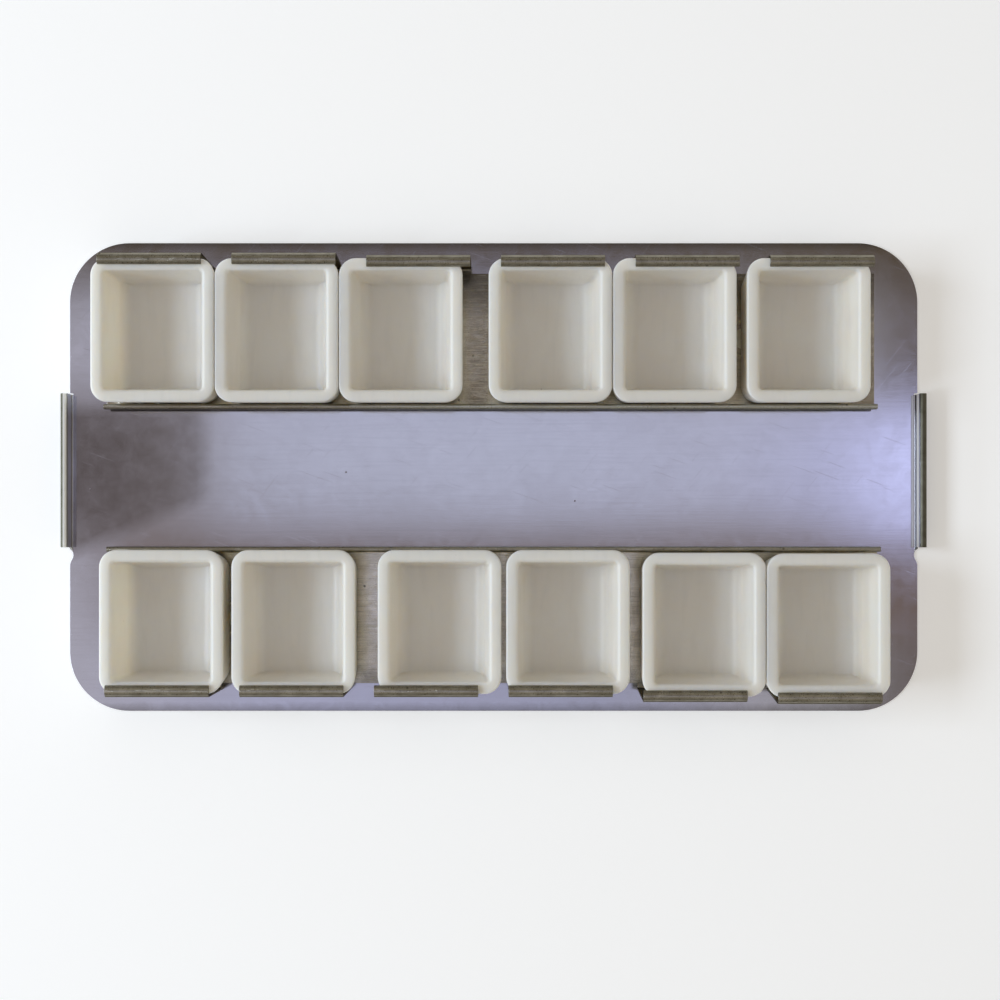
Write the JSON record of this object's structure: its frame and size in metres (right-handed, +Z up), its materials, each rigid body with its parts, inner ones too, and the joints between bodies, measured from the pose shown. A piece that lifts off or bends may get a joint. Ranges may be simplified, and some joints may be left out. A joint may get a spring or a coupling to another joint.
{
  "type": "watercolor pan set",
  "caption": "Tinplate watercolour palette insert with rows of white half pans, each held between a low hemmed wall and a spring clip that curls over its rim.",
  "frame": {"origin": "middle of the object's footprint, on the base plate's flat underside", "axes": "+X along the rows of pans, +Y from the front row to the rear row, +Z up, out of the pans"},
  "size_m": [0.1152, 0.0628, 0.0114],
  "materials": {
    "tinplate": "rolled tinplate, satin with fine scuffs",
    "spring_tin": "rolled tinplate, satin with bright worn bends",
    "rivet_metal": "pressed flat, dull",
    "white_plastic": "satin moulded white plastic"
  },
  "bodies": {
    "tray": {"base_plate": "tinplate", "rear_rail": "spring_tin", "front_rail": "spring_tin", "rear_rivet_left": "rivet_metal", "rear_rivet_right": "rivet_metal", "front_rivet_left": "rivet_metal", "front_rivet_right": "rivet_metal"},
    "rear_clip_1_body": {"rear_clip_1": "spring_tin"},
    "rear_pan_1_body": {"rear_pan_1": "white_plastic"},
    "rear_clip_2_body": {"rear_clip_2": "spring_tin"},
    "rear_pan_2_body": {"rear_pan_2": "white_plastic"},
    "rear_clip_3_body": {"rear_clip_3": "spring_tin"},
    "rear_pan_3_body": {"rear_pan_3": "white_plastic"},
    "rear_clip_4_body": {"rear_clip_4": "spring_tin"},
    "rear_pan_4_body": {"rear_pan_4": "white_plastic"},
    "rear_clip_5_body": {"rear_clip_5": "spring_tin"},
    "rear_pan_5_body": {"rear_pan_5": "white_plastic"},
    "rear_clip_6_body": {"rear_clip_6": "spring_tin"},
    "rear_pan_6_body": {"rear_pan_6": "white_plastic"},
    "front_clip_1_body": {"front_clip_1": "spring_tin"},
    "front_pan_1_body": {"front_pan_1": "white_plastic"},
    "front_clip_2_body": {"front_clip_2": "spring_tin"},
    "front_pan_2_body": {"front_pan_2": "white_plastic"},
    "front_clip_3_body": {"front_clip_3": "spring_tin"},
    "front_pan_3_body": {"front_pan_3": "white_plastic"},
    "front_clip_4_body": {"front_clip_4": "spring_tin"},
    "front_pan_4_body": {"front_pan_4": "white_plastic"},
    "front_clip_5_body": {"front_clip_5": "spring_tin"},
    "front_pan_5_body": {"front_pan_5": "white_plastic"},
    "front_clip_6_body": {"front_clip_6": "spring_tin"},
    "front_pan_6_body": {"front_pan_6": "white_plastic"}
  },
  "joints": [
    {"name": "rear_clip_1_flex", "type": "hinge", "parent": "tray", "child": "rear_clip_1_body", "pos_m": [-0.04435, 0.0283, 0.00155], "axis": [-1, 0, 0], "range_deg": [0, 9], "stiffness_Nm_per_rad": 0.6},
    {"name": "rear_pan_1_lift", "type": "slide", "parent": "tray", "child": "rear_pan_1_body", "axis": [0, 0, 1], "range_m": [0, 0.018], "deforming": ["rear_clip_1"]},
    {"name": "rear_clip_2_flex", "type": "hinge", "parent": "tray", "child": "rear_clip_2_body", "pos_m": [-0.02701, 0.0283, 0.00155], "axis": [-1, 0, 0], "range_deg": [0, 9], "stiffness_Nm_per_rad": 0.6},
    {"name": "rear_pan_2_lift", "type": "slide", "parent": "tray", "child": "rear_pan_2_body", "axis": [0, 0, 1], "range_m": [0, 0.018], "deforming": ["rear_clip_2"]},
    {"name": "rear_clip_3_flex", "type": "hinge", "parent": "tray", "child": "rear_clip_3_body", "pos_m": [-0.00967, 0.0283, 0.00155], "axis": [-1, 0, 0], "range_deg": [0, 9], "stiffness_Nm_per_rad": 0.6},
    {"name": "rear_pan_3_lift", "type": "slide", "parent": "tray", "child": "rear_pan_3_body", "axis": [0, 0, 1], "range_m": [0, 0.018], "deforming": ["rear_clip_3"]},
    {"name": "rear_clip_4_flex", "type": "hinge", "parent": "tray", "child": "rear_clip_4_body", "pos_m": [0.00767, 0.0283, 0.00155], "axis": [-1, 0, 0], "range_deg": [0, 9], "stiffness_Nm_per_rad": 0.6},
    {"name": "rear_pan_4_lift", "type": "slide", "parent": "tray", "child": "rear_pan_4_body", "axis": [0, 0, 1], "range_m": [0, 0.018], "deforming": ["rear_clip_4"]},
    {"name": "rear_clip_5_flex", "type": "hinge", "parent": "tray", "child": "rear_clip_5_body", "pos_m": [0.02501, 0.0283, 0.00155], "axis": [-1, 0, 0], "range_deg": [0, 9], "stiffness_Nm_per_rad": 0.6},
    {"name": "rear_pan_5_lift", "type": "slide", "parent": "tray", "child": "rear_pan_5_body", "axis": [0, 0, 1], "range_m": [0, 0.018], "deforming": ["rear_clip_5"]},
    {"name": "rear_clip_6_flex", "type": "hinge", "parent": "tray", "child": "rear_clip_6_body", "pos_m": [0.04235, 0.0283, 0.00155], "axis": [-1, 0, 0], "range_deg": [0, 9], "stiffness_Nm_per_rad": 0.6},
    {"name": "rear_pan_6_lift", "type": "slide", "parent": "tray", "child": "rear_pan_6_body", "axis": [0, 0, 1], "range_m": [0, 0.018], "deforming": ["rear_clip_6"]},
    {"name": "front_clip_1_flex", "type": "hinge", "parent": "tray", "child": "front_clip_1_body", "pos_m": [-0.04335, -0.0287, 0.00155], "axis": [1, 0, 0], "range_deg": [0, 9], "stiffness_Nm_per_rad": 0.6},
    {"name": "front_pan_1_lift", "type": "slide", "parent": "tray", "child": "front_pan_1_body", "axis": [0, 0, 1], "range_m": [0, 0.018], "deforming": ["front_clip_1"]},
    {"name": "front_clip_2_flex", "type": "hinge", "parent": "tray", "child": "front_clip_2_body", "pos_m": [-0.02601, -0.0287, 0.00155], "axis": [1, 0, 0], "range_deg": [0, 9], "stiffness_Nm_per_rad": 0.6},
    {"name": "front_pan_2_lift", "type": "slide", "parent": "tray", "child": "front_pan_2_body", "axis": [0, 0, 1], "range_m": [0, 0.018], "deforming": ["front_clip_2"]},
    {"name": "front_clip_3_flex", "type": "hinge", "parent": "tray", "child": "front_clip_3_body", "pos_m": [-0.00867, -0.0287, 0.00155], "axis": [1, 0, 0], "range_deg": [0, 9], "stiffness_Nm_per_rad": 0.6},
    {"name": "front_pan_3_lift", "type": "slide", "parent": "tray", "child": "front_pan_3_body", "axis": [0, 0, 1], "range_m": [0, 0.018], "deforming": ["front_clip_3"]},
    {"name": "front_clip_4_flex", "type": "hinge", "parent": "tray", "child": "front_clip_4_body", "pos_m": [0.00867, -0.0287, 0.00155], "axis": [1, 0, 0], "range_deg": [0, 9], "stiffness_Nm_per_rad": 0.6},
    {"name": "front_pan_4_lift", "type": "slide", "parent": "tray", "child": "front_pan_4_body", "axis": [0, 0, 1], "range_m": [0, 0.018], "deforming": ["front_clip_4"]},
    {"name": "front_clip_5_flex", "type": "hinge", "parent": "tray", "child": "front_clip_5_body", "pos_m": [0.02601, -0.0287, 0.00155], "axis": [1, 0, 0], "range_deg": [0, 9], "stiffness_Nm_per_rad": 0.6},
    {"name": "front_pan_5_lift", "type": "slide", "parent": "tray", "child": "front_pan_5_body", "axis": [0, 0, 1], "range_m": [0, 0.018], "deforming": ["front_clip_5"]},
    {"name": "front_clip_6_flex", "type": "hinge", "parent": "tray", "child": "front_clip_6_body", "pos_m": [0.04335, -0.0287, 0.00155], "axis": [1, 0, 0], "range_deg": [0, 9], "stiffness_Nm_per_rad": 0.6},
    {"name": "front_pan_6_lift", "type": "slide", "parent": "tray", "child": "front_pan_6_body", "axis": [0, 0, 1], "range_m": [0, 0.018], "deforming": ["front_clip_6"]}
  ]
}
